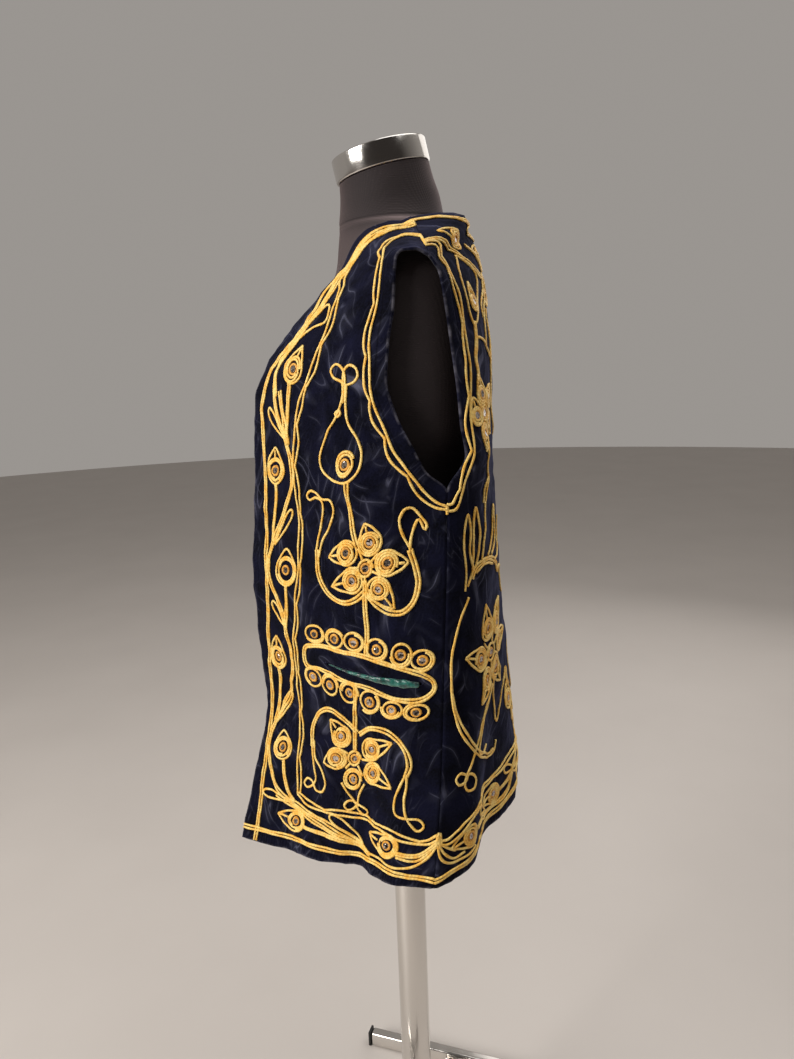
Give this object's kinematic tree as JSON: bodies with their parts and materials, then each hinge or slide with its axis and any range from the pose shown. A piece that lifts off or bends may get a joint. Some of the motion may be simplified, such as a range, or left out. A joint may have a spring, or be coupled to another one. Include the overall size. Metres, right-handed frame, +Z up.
{
  "type": "embroidered vest on a dress form",
  "caption": "Open-front velvet vest with couched cord embroidery and small mirrors, worn by a limbless dress form on a chromed pole with an H base.",
  "frame": {"origin": "on the floor, at the underside of the base's middle bar, under the pole's axis", "axes": "+Z up along the pole, -Y towards the front of the vest, +X towards the wearer's left"},
  "size_m": [0.5144, 0.459, 1.3198],
  "materials": {
    "velvet": "navy cotton velvet with a short pile",
    "lining": "teal satin lining",
    "jersey": "black jersey stretched over the form",
    "chrome": "polished chrome plating",
    "black_plastic": "black moulded end caps"
  },
  "bodies": {
    "root": {"vest_front_left": "velvet", "vest_front_right": "velvet", "vest_back": "velvet", "pocket_welt_left": "velvet", "pocket_welt_right": "velvet", "pocket_lining_left": "lining", "pocket_lining_right": "lining", "form_torso": "jersey", "form_neck_cap": "chrome", "form_socket": "chrome", "pole": "chrome", "base_bar_far": "chrome", "base_bar_near": "chrome", "base_bar_middle": "chrome", "base_cap_far_front": "black_plastic", "base_cap_far_back": "black_plastic", "base_cap_near_front": "black_plastic", "base_cap_near_back": "black_plastic"}
  },
  "joints": []
}
